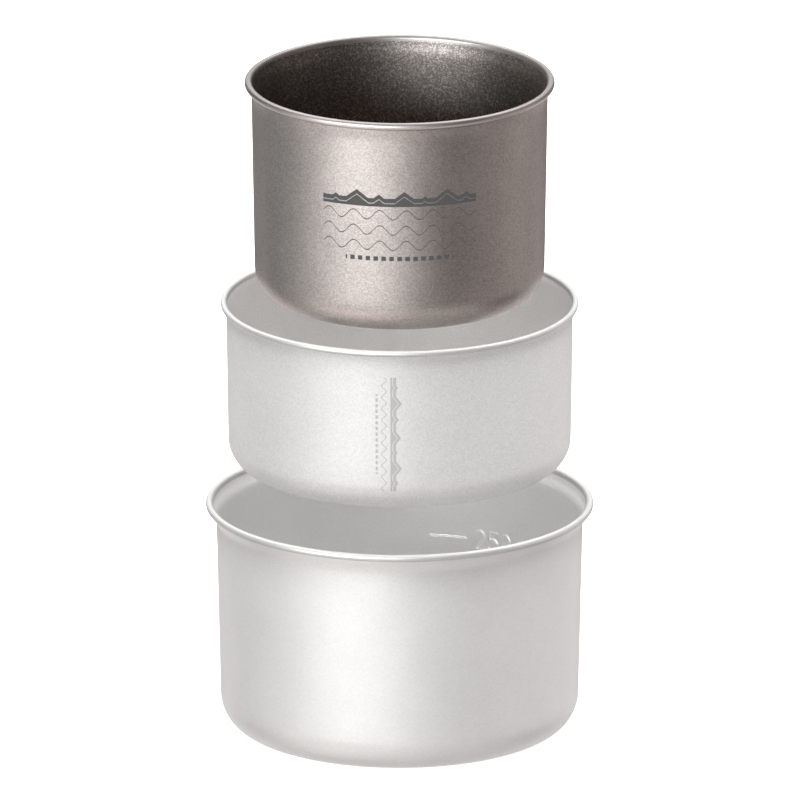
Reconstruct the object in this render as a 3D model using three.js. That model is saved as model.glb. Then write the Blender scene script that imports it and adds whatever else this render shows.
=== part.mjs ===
// A nesting set of three camping pots without handles. Each pot is one piece: a round blank of
// titanium sheet, drawn into a cup, with its edge rolled outwards into a hollow bead that stiffens
// the rim. The set is shown opened out along its nesting axis: the large pot stands on its base,
// and the middle and small pots are lifted above it, in the order in which they nest.
//
// Millimetres, +Z up. The origin is the centre of the large pot's base.

import * as THREE from "three";

// The sheet that all three pots are drawn from.
const SHEET = 0.4;

// How far the sheet turns in the rolled bead. What is left of the turn is a slit beside the wall.
const BEAD_TURN = THREE.MathUtils.degToRad(285);

// Facets around the axis, and steps in each kind of bend.
const FACETS = 48;
const CORNER_STEPS = 5;
const FLARE_STEPS = 2;
const BEAD_STEPS = 8;

// Driving sizes of the pots. footRadius is the outer radius where the wall rises from the bottom
// corner, and lean is the wall's draft in degrees. Under the bead the wall steps outwards by flare
// over flareHeight. beadRadius is the rolled bead's own outer radius. lift is the height of the
// base above the ground.
const POTS = [
  {
    name: "large_pot",
    height: 61.8,
    footRadius: 46.85,
    cornerRadius: 9.5,
    lean: 1.4,
    flare: 1.2,
    flareHeight: 5,
    beadRadius: 0.95,
    lift: 0,
    finish: { color: 0xd4d4d2, roughness: 0.42, metalness: 1 },
  },
  {
    name: "middle_pot",
    height: 45.3,
    footRadius: 44.9,
    cornerRadius: 8,
    lean: 0.9,
    flare: 0.25,
    flareHeight: 2.2,
    beadRadius: 0.8,
    lift: 71.2,
    finish: { color: 0xd2d2d0, roughness: 0.42, metalness: 1 },
  },
  {
    name: "small_pot",
    height: 59.4,
    footRadius: 38,
    cornerRadius: 9,
    lean: 1.05,
    flare: 0.25,
    flareHeight: 2.3,
    beadRadius: 0.95,
    lift: 117.6,
    finish: { color: 0x9a908b, roughness: 0.45, metalness: 1 },
  },
];

// A walk along the middle of the sheet, in the plane of radius (x) and height (y), from the
// axis outwards. Each stop keeps its place and heading, so both faces can be offset from it.
class SheetWalk {
  constructor(height) {
    this.place = new THREE.Vector2(0, height);
    this.heading = 0;
    this.stops = [];
    this.stop();
  }

  stop() {
    this.stops.push({ place: this.place.clone(), heading: this.heading });
  }

  forward(length) {
    const step = new THREE.Vector2(Math.cos(this.heading), Math.sin(this.heading));
    this.place.addScaledVector(step, length);
    this.stop();
  }

  // Turns through an angle on a radius: to the left if the angle is positive.
  bend(radius, angle, steps) {
    const side = Math.sign(angle);
    const centre = beside(this.place, this.heading, side * radius);
    for (let i = 0; i < steps; i++) {
      this.heading += angle / steps;
      this.place.copy(beside(centre, this.heading, -side * radius));
      this.stop();
    }
  }

  // Steps to the right over a length, in two equal bends, and goes on in the same direction.
  stepRight(shift, length, steps) {
    const angle = 2 * Math.atan(shift / length);
    const radius = length / (2 * Math.sin(angle));
    this.bend(radius, -angle, steps);
    this.bend(radius, angle, steps);
  }

  // The closed outline of the sheet: along its right-hand face, and back along its left.
  outline(thickness) {
    const right = this.stops.map((s) => beside(s.place, s.heading, -thickness / 2));
    const left = this.stops.map((s) => beside(s.place, s.heading, thickness / 2));
    return [...right, ...left.reverse()];
  }
}

// The point at a distance to the left of a place, for someone walking on a heading.
function beside(place, heading, distance) {
  return new THREE.Vector2(
    place.x - distance * Math.sin(heading),
    place.y + distance * Math.cos(heading),
  );
}

// One pot's sheet, from the middle of its base to the end of its rolled bead.
function potOutline(pot) {
  const lean = THREE.MathUtils.degToRad(pot.lean);
  const cornerBend = pot.cornerRadius - SHEET / 2;
  const beadBend = pot.beadRadius - SHEET / 2;
  const walk = new SheetWalk(SHEET / 2);

  const flatRadius = pot.footRadius - SHEET / 2 - cornerBend * Math.cos(lean);
  walk.forward(flatRadius);
  walk.bend(cornerBend, Math.PI / 2 - lean, CORNER_STEPS);

  // The wall is as long as the height leaves it, under the flare and the bead.
  const flareRise = pot.flareHeight * Math.cos(lean) - pot.flare * Math.sin(lean);
  const beadRise = beadBend * (1 - Math.sin(lean)) + SHEET / 2;
  const wallRise = pot.height - walk.place.y - flareRise - beadRise;
  walk.forward(wallRise / Math.cos(lean));
  walk.stepRight(pot.flare, pot.flareHeight, FLARE_STEPS);
  walk.bend(beadBend, -BEAD_TURN, BEAD_STEPS);
  return walk.outline(SHEET);
}

function makePot(pot) {
  const geometry = new THREE.LatheGeometry(potOutline(pot), FACETS);
  geometry.rotateX(Math.PI / 2);
  const mesh = new THREE.Mesh(geometry, new THREE.MeshStandardMaterial(pot.finish));
  mesh.name = pot.name;
  mesh.position.z = pot.lift;
  return mesh;
}

const potSet = new THREE.Group();
potSet.name = "nesting_pot_set";
potSet.add(...POTS.map(makePot));

export default potSet;
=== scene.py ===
# A nesting set of three camping pots without handles, opened out along the axis they nest on. The
# frame holds each pot as a coarse solid on its own body. Here each is replaced by a fine mesh of the
# same drawn sheet, with its rolled rim, level mark and etched motif. Metres, +Z up, front towards -Y.

import math

import bpy
import numpy as np
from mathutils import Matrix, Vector


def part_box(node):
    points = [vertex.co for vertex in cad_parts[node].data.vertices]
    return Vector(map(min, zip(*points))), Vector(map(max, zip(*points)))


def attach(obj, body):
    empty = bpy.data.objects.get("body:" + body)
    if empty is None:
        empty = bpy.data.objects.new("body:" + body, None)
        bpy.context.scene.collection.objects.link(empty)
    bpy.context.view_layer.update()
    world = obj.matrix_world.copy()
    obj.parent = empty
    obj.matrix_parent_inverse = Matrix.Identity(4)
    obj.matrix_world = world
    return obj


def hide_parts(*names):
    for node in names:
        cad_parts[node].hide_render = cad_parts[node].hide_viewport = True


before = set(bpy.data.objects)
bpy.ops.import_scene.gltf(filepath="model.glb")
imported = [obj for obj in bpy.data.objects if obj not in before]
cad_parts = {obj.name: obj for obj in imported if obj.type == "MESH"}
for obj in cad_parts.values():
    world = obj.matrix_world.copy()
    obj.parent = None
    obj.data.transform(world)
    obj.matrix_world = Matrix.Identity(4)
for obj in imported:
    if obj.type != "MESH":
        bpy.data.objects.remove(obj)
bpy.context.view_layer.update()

MM = 0.001


# ---- Driving sizes ------------------------------------------------------------------------------

# The sheet's thickness, and how far round its edge is rolled.
SHEET = 0.4 * MM
BEAD_TURN = math.radians(285)

# The outer radius where the wall rises from the bottom corner, the corner's radius, the wall's
# draft, the step out under the bead and its height, and the bead's radius. Heights are the frame's.
# The small pot's step is spread over 5 mm here, for the photograph's soft light inside its rim. The
# CAD solid has it over 2.3 mm. The rim is the same size either way.
POTS = {
    "large_pot": dict(
        foot=46.85 * MM, corner=9.5 * MM, lean=math.radians(1.4),
        flare=1.2 * MM, flare_height=5 * MM, bead=0.95 * MM,
    ),
    "middle_pot": dict(
        foot=44.9 * MM, corner=8 * MM, lean=math.radians(0.9),
        flare=0.25 * MM, flare_height=2.2 * MM, bead=0.8 * MM,
    ),
    "small_pot": dict(
        foot=38 * MM, corner=9 * MM, lean=math.radians(1.05),
        flare=0.25 * MM, flare_height=5 * MM, bead=0.95 * MM,
    ),
}

# Columns around each pot, and rows along its sheet.
COLUMNS = 256
FLAT_ROWS = 6
CORNER_ROWS = 14
WALL_ROWS = 8
FLARE_ROWS = 6
BEAD_ROWS = 28
EDGE_ROWS = 4

# The level mark pressed into the large pot: a line and the number 250, for millilitres. Angles go
# clockwise from the back, seen from above. A stroke's slopes reach as far as MARK_STROKE from its
# middle, and rows and columns MARK_STEP apart cover the mark and a margin round it.
MARKED_POT = "large_pot"
MARK_HEIGHT = 37.7 * MM
MARK_DEPTH = 0.3 * MM
MARK_STROKE = 0.48 * MM
MARK_LINE = (math.radians(10), math.radians(21.2))
DIGITS_START = math.radians(24.6)
DIGIT_HEIGHT = 4.9 * MM
DIGIT_WIDTH = 2.9 * MM
DIGIT_PITCH = 4.0 * MM
MARK_MARGIN = 1 * MM
MARK_STEP = 0.16 * MM


# ---- The drawn sheet ----------------------------------------------------------------------------


class SheetWalk:
    """A walk along the middle of the sheet, in the plane of radius and height, from the axis out."""

    def __init__(self, height):
        self.place = np.array([0.0, height])
        self.heading = 0.0
        self.stops = [(self.place.copy(), self.heading)]

    def forward(self, length, rows):
        step = np.array([math.cos(self.heading), math.sin(self.heading)]) * length / rows
        for _ in range(rows):
            self.place = self.place + step
            self.stops.append((self.place.copy(), self.heading))

    def bend(self, radius, angle, rows):
        """Turns through an angle on a radius: to the left if the angle is positive."""
        side = math.copysign(radius, angle)
        centre = beside(self.place, self.heading, side)
        for _ in range(rows):
            self.heading += angle / rows
            self.place = beside(centre, self.heading, -side)
            self.stops.append((self.place.copy(), self.heading))

    def step_right(self, shift, length, rows):
        """Steps to the right over a length, in two equal bends."""
        angle = 2 * math.atan(shift / length)
        radius = length / (2 * math.sin(angle))
        self.bend(radius, -angle, rows)
        self.bend(radius, angle, rows)

    def outline(self):
        """Both faces of the sheet, joined round its free edge: the outer face, then the inner. The
        second value is how many points the outer face has."""
        right = [beside(p, h, -SHEET / 2) for p, h in self.stops]
        left = [beside(p, h, SHEET / 2) for p, h in self.stops]
        end, heading = self.stops[-1]
        turns = [math.pi * (i / EDGE_ROWS - 0.5) for i in range(1, EDGE_ROWS)]
        edge = [beside(end, heading + t - math.pi / 2, SHEET / 2) for t in turns]
        return np.array(right + edge + left[::-1]), len(right)


def beside(place, heading, distance):
    """The point at a distance to the left of a place, for someone walking on a heading."""
    return place + distance * np.array([-math.sin(heading), math.cos(heading)])


def pot_outline(pot, low, high, band=None):
    """A pot's outline, as radius and height, from the middle of its base round to its floor, and how
    many of its points are the outer face's. band is a stretch of the wall, by height, that gets close
    rows for a pressed mark."""
    corner = pot["corner"] - SHEET / 2
    bead = pot["bead"] - SHEET / 2
    lean = pot["lean"]
    walk = SheetWalk(low + SHEET / 2)
    walk.forward(pot["foot"] - SHEET / 2 - corner * math.cos(lean), FLAT_ROWS)
    walk.bend(corner, math.pi / 2 - lean, CORNER_ROWS)

    # The wall ends where the step and the bead still fit under the pot's top.
    flare_rise = pot["flare_height"] * math.cos(lean) - pot["flare"] * math.sin(lean)
    bead_rise = bead * (1 - math.sin(lean)) + SHEET / 2
    wall_top = high - flare_rise - bead_rise
    stages = [(wall_top, WALL_ROWS)]
    if band:
        close_rows = math.ceil((band[1] - band[0]) / MARK_STEP)
        stages = [(band[0], WALL_ROWS), (band[1], close_rows), (wall_top, WALL_ROWS)]
    for top, rows in stages:
        walk.forward((top - walk.place[1]) / math.cos(lean), rows)
    walk.step_right(pot["flare"], pot["flare_height"], FLARE_ROWS)
    walk.bend(bead, -BEAD_TURN, BEAD_ROWS)
    return walk.outline()


def column_angles(close=None):
    """Angles of a pot's columns, clockwise from the back, with close ones across a pressed mark.
    close is (first angle, last angle, step)."""
    even = np.arange(COLUMNS) * math.tau / COLUMNS
    if not close:
        return even
    first, last, step = close
    fine = np.linspace(first, last, math.ceil((last - first) / step))
    return np.concatenate([even[even < first - step], fine, even[even > last + step]])


def lathe(name, outline, outer_count, angles, relief=None):
    """A mesh turned from an outline that starts and ends on the axis. relief(angle, height) moves
    the sheet towards the axis. The first outer_count points take the first material, and the rest
    the second."""
    ring = outline[1:-1]
    rows, columns = len(ring), len(angles)
    angle, radius = np.meshgrid(angles, ring[:, 0])
    height = np.repeat(ring[:, 1:], columns, axis=1)
    if relief:
        radius = radius - relief(angle, height)
    points = np.stack([radius * np.sin(angle), radius * np.cos(angle), height], axis=-1)
    poles = [[0, 0, outline[0, 1]], [0, 0, outline[-1, 1]]]
    points = np.concatenate([points.reshape(-1, 3), poles])

    here = np.arange(columns)
    onward = np.roll(here, -1)
    faces = []
    for row in range(rows - 1):
        a, b = row * columns, (row + 1) * columns
        faces += np.stack([a + here, b + here, b + onward, a + onward], axis=1).tolist()
    first_pole, last_pole = rows * columns, rows * columns + 1
    top = (rows - 1) * columns
    faces += [[last_pole, top + int(j), top + int(i)] for i, j in zip(here, onward)]
    faces += [[first_pole, int(i), int(j)] for i, j in zip(here, onward)]
    inner = np.zeros(len(faces), np.int32)
    inner[(outer_count - 2) * columns : rows * columns] = 1

    mesh = bpy.data.meshes.new(name)
    mesh.from_pydata(points.tolist(), [], faces)
    mesh.polygons.foreach_set("material_index", inner)
    mesh.shade_smooth()
    piece = bpy.data.objects.new(name, mesh)
    bpy.context.scene.collection.objects.link(piece)
    return piece


# ---- The pressed level mark ---------------------------------------------------------------------


def arc(centre, radii, start, stop, count=24):
    """Points along an ellipse, between two angles in degrees."""
    turn = np.radians(np.linspace(start, stop, count))
    return [(centre[0] + radii[0] * math.cos(t), centre[1] + radii[1] * math.sin(t)) for t in turn]


# Each digit is one stroke in a box one wide and one high.
DIGIT_STROKES = {
    "2": arc((0.5, 0.71), (0.46, 0.29), 165, -42) + [(0.04, 0), (0.98, 0)],
    "5": [(0.9, 1), (0.2, 1), (0.13, 0.56)] + arc((0.46, 0.32), (0.46, 0.32), 118, -148),
    "0": arc((0.5, 0.5), (0.46, 0.5), 0, 360, 40),
}


def distance_to_stroke(x, y, stroke):
    """How far each point is from a line through the stroke's points."""
    nearest = np.full(x.shape, np.inf)
    for (ax, ay), (bx, by) in zip(stroke, stroke[1:]):
        dx, dy = bx - ax, by - ay
        share = np.clip(((x - ax) * dx + (y - ay) * dy) / (dx * dx + dy * dy), 0, 1)
        nearest = np.minimum(nearest, np.hypot(x - ax - share * dx, y - ay - share * dy))
    return nearest


def level_mark_strokes(radius):
    """The mark's strokes, as distance round the wall and height, in metres."""
    strokes = [[(radius * MARK_LINE[0], MARK_HEIGHT), (radius * MARK_LINE[1], MARK_HEIGHT)]]
    left = radius * DIGITS_START
    low = MARK_HEIGHT - DIGIT_HEIGHT / 2
    for digit in "250":
        stroke = [(left + x * DIGIT_WIDTH, low + y * DIGIT_HEIGHT) for x, y in DIGIT_STROKES[digit]]
        strokes.append(stroke)
        left += DIGIT_PITCH
    return strokes


def level_mark_relief(radius):
    """A function that gives how far the mark is pressed in at each angle and height."""
    strokes = level_mark_strokes(radius)

    def relief(angle, height):
        nearest = np.full(angle.shape, np.inf)
        near = (np.abs(height - MARK_HEIGHT) < DIGIT_HEIGHT) & (angle < math.pi / 2)
        for stroke in strokes:
            distance = distance_to_stroke(radius * angle[near], height[near], stroke)
            nearest[near] = np.minimum(nearest[near], distance)
        share = np.clip(1 - nearest / MARK_STROKE, 0, 1)
        return MARK_DEPTH * share * share * (3 - 2 * share)

    return relief


def level_mark(pot):
    """The mark's relief, the band of heights that needs close rows, and the close columns."""
    wall = pot["foot"] + (MARK_HEIGHT - pot["corner"]) * math.tan(pot["lean"]) - SHEET
    half_height = DIGIT_HEIGHT / 2 + MARK_MARGIN
    band = (MARK_HEIGHT - half_height, MARK_HEIGHT + half_height)
    margin = MARK_MARGIN / wall
    mark_end = DIGITS_START + (2 * DIGIT_PITCH + DIGIT_WIDTH) / wall
    close = (MARK_LINE[0] - margin, mark_end + margin, MARK_STEP / wall)
    return level_mark_relief(wall), band, close


# ---- Material nodes -----------------------------------------------------------------------------


class Nodes:
    """A material's node tree, with short ways to add to it. Places are in the object's own space.
    A node's inputs and outputs are given by name or by number."""

    def __init__(self, name):
        self.material = bpy.data.materials.new(name)
        self.material.use_nodes = True
        self.tree = self.material.node_tree
        self.tree.nodes.clear()
        output = self.tree.nodes.new("ShaderNodeOutputMaterial")
        self.shader = self.tree.nodes.new("ShaderNodeBsdfPrincipled")
        self.put(output.inputs["Surface"], self.shader.outputs[0])
        self.place = self.add("ShaderNodeTexCoord", output="Object")
        split = self.tree.nodes.new("ShaderNodeSeparateXYZ")
        self.put(split.inputs[0], self.place)
        self.x, self.y, self.z = split.outputs
        flat = self.add("ShaderNodeVectorMath", {0: self.place, 1: (1, 1, 0)}, operation="MULTIPLY")
        self.radius = self.add("ShaderNodeVectorMath", {0: flat}, "Value", operation="LENGTH")

    def put(self, socket, value):
        if isinstance(value, bpy.types.NodeSocket):
            self.tree.links.new(value, socket)
        else:
            socket.default_value = value

    def add(self, kind, inputs=None, output=0, **settings):
        node = self.tree.nodes.new(kind)
        for key, value in settings.items():
            setattr(node, key, value)
        for key, value in (inputs or {}).items():
            self.put(node.inputs[key], value)
        return node.outputs[output]

    def math(self, operation, *values):
        return self.add("ShaderNodeMath", dict(enumerate(values)), operation=operation)

    def plus(self, a, b):
        return self.math("ADD", a, b)

    def minus(self, a, b):
        return self.math("SUBTRACT", a, b)

    def times(self, a, b):
        return self.math("MULTIPLY", a, b)

    def mix(self, share, a, b):
        """The number at a share of the way from a to b. Where the two are the same, it is that."""
        if a == b:
            return a
        return self.add("ShaderNodeMix", {0: share, 2: a, 3: b}, data_type="FLOAT")

    def mix_colour(self, share, a, b):
        return self.add("ShaderNodeMix", {0: share, 6: a, 7: b}, 2, data_type="RGBA")

    def scale_place(self, scale):
        return self.add("ShaderNodeVectorMath", {0: self.place, 1: scale}, operation="MULTIPLY")

    def scale_colour(self, colour, scale):
        return self.add("ShaderNodeVectorMath", {0: colour, "Scale": scale}, operation="SCALE")

    def step(self, value, start, end):
        """0 where value is at start, 1 where it is at end, and smooth between."""
        inputs = {0: value, 1: start, 2: end, 3: 0.0, 4: 1.0}
        return self.add("ShaderNodeMapRange", inputs, interpolation_type="SMOOTHSTEP")

    def near(self, value, middle, reach):
        """1 where value is at middle, falling to 0 at reach from it."""
        return self.step(self.math("ABSOLUTE", self.minus(value, middle)), reach, 0.0)

    def within(self, value, reach, edge):
        """1 where value is nearer to 0 than reach, with a soft edge as wide on each side of reach."""
        return self.step(self.math("ABSOLUTE", value), reach + edge, reach - edge)

    def noise(self, size, detail=2.0, place=None):
        inputs = {"Vector": place or self.place, "Scale": 1 / size, "Detail": detail}
        return self.add("ShaderNodeTexNoise", inputs)

    def cells(self, size):
        """A random number for each of the surface's cells of about that size."""
        inputs = {"Vector": self.place, "Scale": 1 / size}
        colour = self.add("ShaderNodeTexVoronoi", inputs, "Color")
        return self.add("ShaderNodeSeparateXYZ", {0: colour})

    def product(self, *values):
        total = values[0]
        for value in values[1:]:
            total = self.times(total, value)
        return total


# ---- The etched motif ---------------------------------------------------------------------------

# A ridge of peaks over waved lines and a row of dashes. Each peak is its place along the ridge, as a
# share of the ridge's length from its middle, and its height, as a share of the ridge's. Between the
# peaks the ridge is PEAK_FOOT of its height, and the peaks' sides rise at PEAK_SLOPE.
PEAKS = [
    (-0.41, 0.66), (-0.27, 1.0), (-0.13, 0.74), (0.03, 0.92), (0.16, 0.62), (0.3, 1.0), (0.43, 0.7),
]
PEAK_FOOT = 0.5
PEAK_SLOPE = 0.75
# A line left bare under the peaks: its depth under them, as a share of the ridge's height, and how
# far it fades to each side.
BARE_LINE = 0.3
BARE_REACH = 0.2 * MM
# How far the ink fades on each side of its edges.
RIDGE_EDGE = 0.04 * MM
WAVE_EDGE = 0.06 * MM
DASH_EDGE = 0.05 * MM
END_EDGE = 0.025 * MM
# A cosine runs along the row of dashes, and a dash fades in between these values of it.
DASH_FADE = (-0.35, -0.15)


def motif_ridge(n, along, up, length, height):
    """Ink where the point is in the ridge: above its foot and under its peaks."""
    top = PEAK_FOOT * height
    for place, share in PEAKS:
        away = n.math("ABSOLUTE", n.minus(along, place * length))
        top = n.math("MAXIMUM", top, n.minus(share * height, n.times(away, PEAK_SLOPE)))
    under = n.step(n.minus(top, up), -RIDGE_EDGE, RIDGE_EDGE)
    above = n.step(up, -RIDGE_EDGE, RIDGE_EDGE)
    ends = n.within(along, length / 2, RIDGE_EDGE)
    bare = n.near(n.minus(top, up), BARE_LINE * height, BARE_REACH)
    return n.product(under, above, ends, n.minus(1.0, bare))


def motif_wave(n, along, up, length, pitch, swing, stroke):
    """Ink along a waved line. up is measured from its middle."""
    wave = n.times(n.math("SINE", n.times(along, math.tau / pitch)), swing)
    line = n.within(n.minus(up, wave), stroke / 2, WAVE_EDGE)
    return n.times(line, n.within(along, length / 2 - END_EDGE, END_EDGE))


def motif_dashes(n, along, up, length, pitch, stroke):
    """Ink in a row of dashes. up is measured from its middle."""
    line = n.within(up, stroke / 2, DASH_EDGE)
    ends = n.within(along, length / 2 - END_EDGE, END_EDGE)
    dash = n.step(n.math("COSINE", n.times(along, math.tau / pitch)), *DASH_FADE)
    return n.product(line, ends, dash)


# Each pot's motif: whether it stands upright and reads downwards, the place of the middle of the
# ridge's foot, to the right of the pot's front and above its base, and the ridge's length and height.
# The waved lines lie at the drops under the foot, and the row of dashes at its own.
MOTIFS = {
    "small_pot": dict(
        upright=False, right=0.0, above_base=36 * MM, length=41.8 * MM, height=4.5 * MM,
        wave_drops=[2.3 * MM, 6.5 * MM, 10.7 * MM], dash_drop=14.3 * MM,
        wave=dict(length=41.8 * MM, pitch=6.97 * MM, swing=1.25 * MM, stroke=0.26 * MM),
        dashes=dict(length=29 * MM, pitch=2.1 * MM, stroke=1.2 * MM),
    ),
    "middle_pot": dict(
        upright=True, right=-2.4 * MM, above_base=22.1 * MM, length=31.3 * MM, height=3 * MM,
        wave_drops=[1.7 * MM], dash_drop=3.6 * MM,
        wave=dict(length=31.3 * MM, pitch=3.13 * MM, swing=0.6 * MM, stroke=0.26 * MM),
        dashes=dict(length=22 * MM, pitch=1.57 * MM, stroke=0.6 * MM),
    ),
}


def motif_ink(n, name):
    """1 where the pot's outer face is etched."""
    pot = POTS[name]
    motif = MOTIFS[name]
    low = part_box(name)[0].z
    slope = math.tan(pot["lean"])
    middle_radius = pot["foot"] - SHEET / 2 - slope * (low + pot["corner"])
    outside = n.math("GREATER_THAN", n.minus(n.radius, n.times(n.z, slope)), middle_radius)
    foot = low + motif["above_base"]
    wall_radius = middle_radius + slope * foot
    right = n.times(n.math("ARCTAN2", n.x, n.times(n.y, -1.0)), wall_radius)
    right = n.minus(right, motif["right"])
    rise = n.minus(n.z, foot)
    along, up = (n.times(rise, -1.0), right) if motif["upright"] else (right, rise)

    ink = motif_ridge(n, along, up, motif["length"], motif["height"])
    for drop in motif["wave_drops"]:
        wave = motif_wave(n, along, n.plus(up, drop), **motif["wave"])
        ink = n.math("MAXIMUM", ink, wave)
    dashes = motif_dashes(n, along, n.plus(up, motif["dash_drop"]), **motif["dashes"])
    return n.times(n.math("MAXIMUM", ink, dashes), outside)


# ---- The metal ----------------------------------------------------------------------------------

# The record's material slot that each pot takes its finish from.
SLOTS = {
    "large_pot": "pale_titanium",
    "middle_pot": "pale_titanium",
    "small_pot": "blasted_titanium",
}
# The finish of each face of the sheet, of the rim and of the etched motif. cloud is how much darker
# the clouds are; after it come how light the painted shade line under the rim is, and how much
# lighter the rim's top is, rubbed bright and painted as a highlight. They are shares of the metal's
# tone.
FINISHES = {
    "blasted_titanium": dict(
        outside=dict(tone=(0.4, 0.366, 0.346, 1), metallic=1.0, roughness=0.42, dimples=0.028 * MM),
        # The inside is darker and warmer than the outside, as painted shade.
        inside=dict(tone=(0.34, 0.3, 0.281, 1), metallic=1.0, roughness=0.42, dimples=0.028 * MM),
        rim=dict(tone=(0.52, 0.495, 0.48, 1), metallic=1.0, roughness=0.42, dimples=0.003 * MM),
        etch=dict(tone=(0.09, 0.092, 0.09, 1), metallic=0.0, roughness=0.75),
        cloud=0.08, shade_line=0.45, rim_top_light=0.3,
    ),
    "pale_titanium": dict(
        outside=dict(tone=(0.9, 0.89, 0.875, 1), metallic=0.22, roughness=0.45, dimples=0.02 * MM),
        # The inside is lighter than the outside, as painted light against the shade inside the pot.
        inside=dict(tone=(0.97, 0.965, 0.955, 1), metallic=0.1, roughness=0.45, dimples=0.02 * MM),
        rim=dict(tone=(0.67, 0.665, 0.655, 1), metallic=0.42, roughness=0.4, dimples=0.003 * MM),
        etch=dict(tone=(0.6, 0.6, 0.6, 1), metallic=0.1, roughness=0.7),
        cloud=0.03, shade_line=0.95, rim_top_light=0.1,
    ),
}
# How much the grain of the blasting lightens and darkens each pot. Its rim has RIM_GRAIN of what its
# outside has.
GRAIN = {
    "large_pot": dict(outside=0.08, inside=0.08),
    "middle_pot": dict(outside=0.16, inside=0.12),
    "small_pot": dict(outside=0.38, inside=1.2),
}
RIM_GRAIN = 0.3
# How much of its finish's metallic value each pot has: the large one is the shinier of the pale two.
SHINE = {"large_pot": 1.18, "middle_pot": 0.68, "small_pot": 1.0}

# The sizes of the grain, of the clouds of lighter and darker metal, and of the dimples.
GRAIN_SIZE = 0.27 * MM
CLOUD_SIZE = 14 * MM
COARSE_DIMPLE = 0.5 * MM
FINE_DIMPLE = 0.22 * MM
# Inside, the grain's random numbers are raised to a power, so that few grains are bright, as painted
# glints, and then lifted, so that their average is one half again.
GLINT_POWER = 3.0
GLINT_LIFT = 0.25

# Where a mask starts from 0 and where it reaches 1. For the rim it is the distance out from the bead,
# for the rim's lighter top the distance under it, and for the base and the foot the height above the
# base. For the clouds, rub marks and worn patches it is a value of their noise, and for the level
# mark the upright part of the surface's normal.
RIM_FADE = (0.25 * MM, 0.05 * MM)
CREST_FADE = (0.55 * MM, 0.15 * MM)
BASE_FADE = (0.35 * MM, 0.05 * MM)
FOOT_FADE = (0.9 * MM, 0.2 * MM)
CLOUD_FADE = (0.25, 0.75)
RUB_FADE = (0.55, 0.8)
PATCH_FADE = (0.3, 0.65)
MARK_FADE = (0.05, 0.2)

# The painted shade under the rim, a dark line: how far under the bead it is, and how far it fades
# up and down.
SHADE_LINE_DROP = 0.12 * MM
SHADE_LINE_REACH = 0.5 * MM
# The ring of wear on the base: how far out it is from where the corner starts, how far it fades to
# each side, and the size of its patches.
WEAR_OUT = 1 * MM
WEAR_REACH = 2.6 * MM
WEAR_PATCH = 5 * MM
# The rub marks' width, and how they are squeezed upright.
RUB_WIDTH = 0.9 * MM
RUB_SQUEEZE = (1, 1, 0.03)
# The turning rings on the base.
RING_PITCH = 0.9 * MM
RING_DEPTH = 0.0015 * MM

# How much wear lightens the metal, and what clouds, rub marks and wear add to its roughness.
WEAR_LIGHT = 0.12
CLOUD_ROUGHNESS = 0.06
RUB_ROUGHNESS = -0.04
WEAR_ROUGHNESS = -0.08
# The slopes of the level mark, which are rubbed bright.
MARK_FINISH = dict(metallic=0.6, roughness=0.3)


def rim_mask(n, name):
    """1 on the rolled rim: within the bead's radius of its middle."""
    bead = POTS[name]["bead"]
    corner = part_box(name)[1]
    across = n.minus(n.radius, corner.x - bead)
    above = n.minus(n.z, corner.z - bead)
    square = n.plus(n.times(across, across), n.times(above, above))
    start, end = RIM_FADE
    return n.step(n.math("SQRT", square), bead + start, bead + end)


def painted_shade_line(n, name):
    """1 in a line of painted shade where the rolled rim's underside meets the wall, on the outside
    only.
    """
    bead = POTS[name]["bead"]
    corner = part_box(name)[1]
    wall = corner.x - 2 * bead
    outside = n.step(n.radius, wall, wall + SHEET / 2)
    return n.times(outside, n.near(n.z, corner.z - 2 * bead - SHADE_LINE_DROP, SHADE_LINE_REACH))


def rim_top_wear_and_highlight(n, name):
    """1 along the top of the rolled rim, which is rubbed bright and lightened as a painted highlight.
    """
    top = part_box(name)[1].z
    start, end = CREST_FADE
    return n.step(n.z, top - start, top - end)


def base_mask(n, name):
    """1 on the flat underside."""
    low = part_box(name)[0].z
    start, end = BASE_FADE
    return n.step(n.z, low + start, low + end)


def foot_wear(n, name):
    """1 where the pot stands, at the outer edge of its base, in worn patches."""
    pot = POTS[name]
    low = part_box(name)[0].z
    start, end = FOOT_FADE
    ring = n.near(n.radius, pot["foot"] - pot["corner"] + WEAR_OUT, WEAR_REACH)
    under = n.step(n.z, low + start, low + end)
    patches = n.step(n.noise(WEAR_PATCH, detail=4.0), *PATCH_FADE)
    return n.product(ring, under, patches)


def rub_marks(n):
    """Faint upright lines where the pots slide on each other."""
    return n.step(n.noise(RUB_WIDTH, place=n.scale_place(RUB_SQUEEZE)), *RUB_FADE)


def mark_mask(n):
    """1 on the slopes of the pressed level mark."""
    normal = n.add("ShaderNodeNewGeometry", output="Normal")
    slope = n.math("ABSOLUTE", n.add("ShaderNodeSeparateXYZ", {0: normal}, "Z"))
    return n.times(n.step(slope, *MARK_FADE), n.near(n.z, MARK_HEIGHT, DIGIT_HEIGHT))


def grain_and_painted_glints(n, name, face, rim):
    """How much lighter than its tone each grain of the metal is. Inside, its few bright grains are
    painted glints.
    """
    cells = n.cells(GRAIN_SIZE)
    if face == "inside":
        cells = n.plus(n.math("POWER", cells, GLINT_POWER), GLINT_LIFT)
    depth = n.mix(rim, GRAIN[name][face], RIM_GRAIN * GRAIN[name]["outside"])
    return n.times(n.minus(cells, 0.5), depth)


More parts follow.
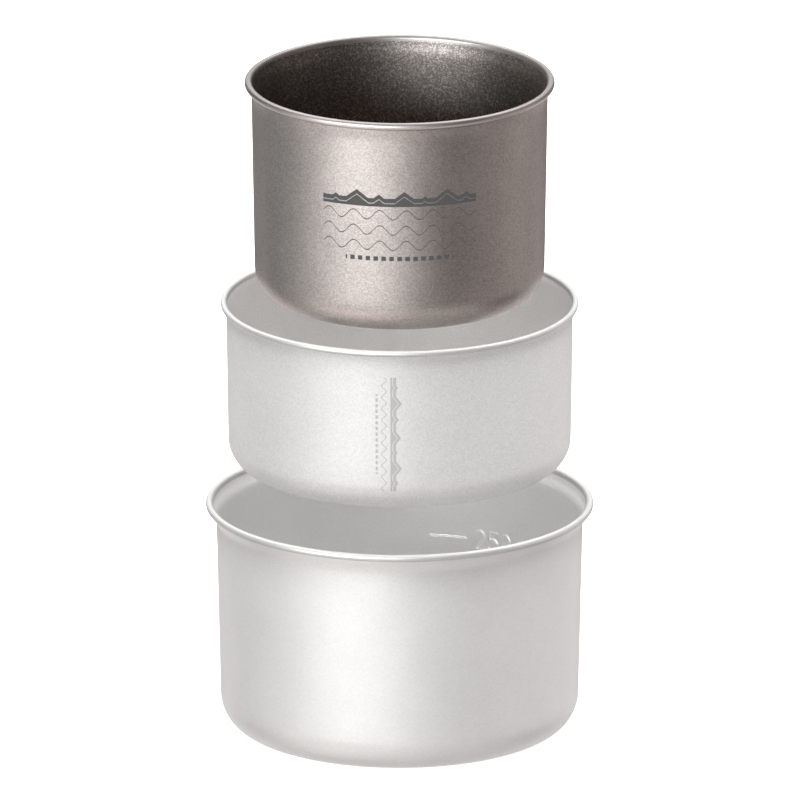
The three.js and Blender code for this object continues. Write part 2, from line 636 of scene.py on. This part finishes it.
def metal_shade(n, name, face, rim, cloud, worn):
    """How light the metal is, as a share of its tone. It holds painted shade under the rim and a
    painted highlight along the rim's top.
    """
    finishes = FINISHES[SLOTS[name]]
    shade = n.mix(n.step(cloud, *CLOUD_FADE), 1 - finishes["cloud"], 1.0)
    shade = n.plus(shade, grain_and_painted_glints(n, name, face, rim))
    shade = n.plus(shade, n.times(worn, WEAR_LIGHT))
    # The rim's top is lighter: partly rubbed bright, partly a painted highlight.
    shade = n.plus(shade, n.times(rim_top_wear_and_highlight(n, name), finishes["rim_top_light"]))
    # Painted shade: darker in a line under the rolled rim.
    return n.times(shade, n.mix(painted_shade_line(n, name), 1.0, finishes["shade_line"]))


def metal_relief(n, name, face, rim):
    """How high each point stands over the smooth sheet: blasted dimples, and rings on the base."""
    finishes = FINISHES[SLOTS[name]]
    dimples = n.mix(0.5, n.noise(COARSE_DIMPLE, detail=1.0), n.noise(FINE_DIMPLE, detail=1.0))
    depth = n.mix(rim, finishes[face]["dimples"], finishes["rim"]["dimples"])
    rings = n.math("SINE", n.times(n.radius, math.tau / RING_PITCH))
    return n.plus(n.times(dimples, depth), n.product(rings, base_mask(n, name), RING_DEPTH))


def titanium(name, face):
    """Bead-blasted titanium sheet, smoother on its rolled rim and worn bright where it stands, with a
    painted shade line under the rim and a painted highlight along its top. What shows of the rim is
    the inside of the sheet, rolled over, and its outside meets the wall there, so both faces have the
    rim's finish."""
    finishes = FINISHES[SLOTS[name]]
    finish = finishes[face]
    rim_finish = finishes["rim"]
    n = Nodes(f"{SLOTS[name]}_{name}_{face}")
    rim = rim_mask(n, name)
    worn = foot_wear(n, name)
    cloud = n.noise(CLOUD_SIZE, detail=4.0)

    colour = n.mix_colour(rim, finish["tone"], rim_finish["tone"])
    colour = n.scale_colour(colour, metal_shade(n, name, face, rim, cloud, worn))
    metallic = n.mix(rim, finish["metallic"] * SHINE[name], rim_finish["metallic"])
    roughness = n.mix(rim, finish["roughness"], rim_finish["roughness"])
    roughness = n.plus(roughness, n.times(cloud, CLOUD_ROUGHNESS))
    roughness = n.plus(roughness, n.times(rub_marks(n), RUB_ROUGHNESS))
    roughness = n.plus(roughness, n.times(worn, WEAR_ROUGHNESS))
    if name in MOTIFS and face == "outside":
        ink = motif_ink(n, name)
        etch = finishes["etch"]
        colour = n.mix_colour(ink, colour, etch["tone"])
        metallic = n.mix(ink, metallic, etch["metallic"])
        roughness = n.mix(ink, roughness, etch["roughness"])
    if name == MARKED_POT and face == "inside":
        mark = mark_mask(n)
        metallic = n.mix(mark, metallic, MARK_FINISH["metallic"])
        roughness = n.mix(mark, roughness, MARK_FINISH["roughness"])

    height = metal_relief(n, name, face, rim)
    bump = n.add("ShaderNodeBump", {"Strength": 1.0, "Distance": 1.0, "Height": height})
    n.put(n.shader.inputs["Base Color"], colour)
    n.put(n.shader.inputs["Metallic"], metallic)
    n.put(n.shader.inputs["Roughness"], roughness)
    n.put(n.shader.inputs["Normal"], bump)
    return n.material


# ---- Pots ---------------------------------------------------------------------------------------


def make_pot(name):
    """A pot in place of its CAD solid. The middle one isn't reflected by the others, because the
    photograph shows pots that were taken one at a time."""
    pot = POTS[name]
    low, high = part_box(name)
    relief, band, close = level_mark(pot) if name == MARKED_POT else (None, None, None)
    outline, outer_count = pot_outline(pot, low.z, high.z, band)
    piece = lathe(name + "_sheet", outline, outer_count, column_angles(close), relief)
    # lathe gives the sheet's outer face the first material and its inner face the second.
    for face in ("outside", "inside"):
        piece.data.materials.append(titanium(name, face))
    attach(piece, name)
    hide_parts(name)
    piece.visible_glossy = name != "middle_pot"


for pot_name in POTS:
    make_pot(pot_name)


# ---- Floor, camera and light --------------------------------------------------------------------

# The view: how far above the horizon the camera is, the point that it looks at and from how far, in
# metres, and how wide a field it takes.
VIEW_ELEVATION = math.radians(17)
VIEW_CENTRE = Vector((0.1 * MM, 0, 89 * MM))
VIEW_DISTANCE = 1
FIELD = 209.6 * MM


def make_camera():
    """A camera without perspective, as a very long lens sees."""
    data = bpy.data.cameras.new("camera")
    data.type = "ORTHO"
    data.ortho_scale = FIELD
    camera = bpy.data.objects.new("camera", data)
    bpy.context.scene.collection.objects.link(camera)
    back = Vector((0, -math.cos(VIEW_ELEVATION), math.sin(VIEW_ELEVATION)))
    camera.location = VIEW_CENTRE + back * VIEW_DISTANCE
    camera.rotation_euler = back.to_track_quat("Z", "Y").to_euler()
    bpy.context.scene.camera = camera


# How far the floor reaches each way, in metres, and its looks. It glows, so that it is as white as
# the photograph's background.
FLOOR_REACH = 12
FLOOR_TONE = (0.8, 0.8, 0.8, 1)
FLOOR_ROUGHNESS = 0.9
FLOOR_GLOW = 0.8
WHITE = (1, 1, 1, 1)


def make_floor():
    """A pale floor that only the camera sees. The lights under it shine through, as if the floor
    were white and lit the pots from below."""
    mesh = bpy.data.meshes.new("floor")
    reach = FLOOR_REACH
    mesh.from_pydata(
        [(-reach, -reach, 0), (reach, -reach, 0), (reach, reach, 0), (-reach, reach, 0)],
        [], [(0, 1, 2, 3)],
    )
    floor = bpy.data.objects.new("floor", mesh)
    bpy.context.scene.collection.objects.link(floor)
    floor.visible_diffuse = False
    floor.visible_glossy = False
    floor.visible_shadow = False
    material = bpy.data.materials.new("floor")
    material.use_nodes = True
    shader = material.node_tree.nodes["Principled BSDF"]
    shader.inputs["Base Color"].default_value = FLOOR_TONE
    shader.inputs["Roughness"].default_value = FLOOR_ROUGHNESS
    shader.inputs["Emission Color"].default_value = WHITE
    shader.inputs["Emission Strength"].default_value = FLOOR_GLOW
    mesh.materials.append(material)


# How bright the room is to matt surfaces.
ROOM_LIGHT = 0.5


def make_world():
    """White to the camera, and an even light to matt surfaces. Metal reflects only the panels."""
    world = bpy.data.worlds.new("world")
    world.use_nodes = True
    bpy.context.scene.world = world
    tree = world.node_tree
    rays = tree.nodes.new("ShaderNodeLightPath")
    strength = tree.nodes.new("ShaderNodeMath")
    strength.operation = "MULTIPLY_ADD"
    strength.inputs[1].default_value = ROOM_LIGHT
    tree.links.new(rays.outputs["Is Diffuse Ray"], strength.inputs[0])
    tree.links.new(rays.outputs["Is Camera Ray"], strength.inputs[2])
    shader = tree.nodes["Background"]
    shader.inputs["Color"].default_value = WHITE
    tree.links.new(strength.outputs[0], shader.inputs["Strength"])


# Each light is a soft panel that faces the pots, LIGHT_DISTANCE metres away. Its bearing is its angle
# round from the camera, to the right if positive, and its climb its angle above the horizon. Its
# width and height are the angles that it fills, and its glow how bright its face is. The panels show
# only in reflections, and the overhead light reaches only matt surfaces.
LIGHT_DISTANCE = 2
KEY_TINT = (0.96, 1, 1.015)
WARM_TINT = (1.085, 1, 0.99)
COOL_TINT = (0.92, 1, 1.035)
PANELS = {
    "key_panel": dict(bearing=-30, climb=9, width=48, height=20, glow=14.8, tint=KEY_TINT),
    "left_sweep": dict(bearing=-40, climb=-38, width=90, height=37, glow=1.05, tint=WARM_TINT),
    "right_sweep": dict(bearing=50, climb=-38, width=60, height=37, glow=0.42, tint=WARM_TINT),
    "under_sweep": dict(bearing=0, climb=-90, width=90, height=90, glow=0.5, tint=WARM_TINT),
    "under_key": dict(bearing=-45, climb=-60, width=50, height=30, glow=0.9, tint=WARM_TINT),
    "back_sweep": dict(bearing=180, climb=-35, width=90, height=30, glow=1.1, tint=WARM_TINT),
    "left_side": dict(bearing=-105, climb=-10, width=30, height=30, glow=0.5, tint=COOL_TINT),
    "right_side": dict(bearing=75, climb=-10, width=30, height=30, glow=0.45, tint=WARM_TINT),
    "right_back": dict(bearing=105, climb=-10, width=30, height=30, glow=0.88, tint=WARM_TINT),
    "back_corner": dict(bearing=140, climb=-5, width=30, height=40, glow=0.2, tint=WARM_TINT),
    "back_panel": dict(bearing=180, climb=8, width=50, height=44, glow=0.65, tint=KEY_TINT),
    "top_panel": dict(bearing=180, climb=62, width=70, height=44, glow=1.7, tint=WARM_TINT),
    "front_top": dict(bearing=-20, climb=58, width=80, height=60, glow=0.3, tint=WARM_TINT),
    "left_rim": dict(bearing=-100, climb=28, width=60, height=50, glow=0.15, tint=COOL_TINT),
    "right_rim": dict(bearing=105, climb=30, width=70, height=50, glow=0.25, tint=WARM_TINT),
}
OVERHEAD = dict(bearing=0, climb=90, width=60, height=60, glow=6.5, tint=(1, 1, 1))


def make_light(name, bearing, climb, width, height, glow, tint):
    """A panel of light. Its power is pi times its area for each unit of its face's brightness."""
    data = bpy.data.lights.new(name, "AREA")
    data.shape = "RECTANGLE"
    data.size = 2 * LIGHT_DISTANCE * math.tan(math.radians(width / 2))
    data.size_y = 2 * LIGHT_DISTANCE * math.tan(math.radians(height / 2))
    data.energy = math.pi * data.size * data.size_y * glow
    data.color = tint
    light = bpy.data.objects.new(name, data)
    bpy.context.scene.collection.objects.link(light)
    bearing, climb = math.radians(bearing), math.radians(climb)
    level = math.cos(climb)
    back = Vector((math.sin(bearing) * level, -math.cos(bearing) * level, math.sin(climb)))
    light.location = VIEW_CENTRE + back * LIGHT_DISTANCE
    light.rotation_euler = back.to_track_quat("Z", "Y").to_euler()
    light.visible_camera = False
    return light


make_camera()
make_floor()
make_world()
for panel_name, panel in PANELS.items():
    make_light(panel_name, **panel).visible_diffuse = False
make_light("overhead", **OVERHEAD).visible_glossy = False
bpy.context.scene.view_settings.view_transform = "Standard"
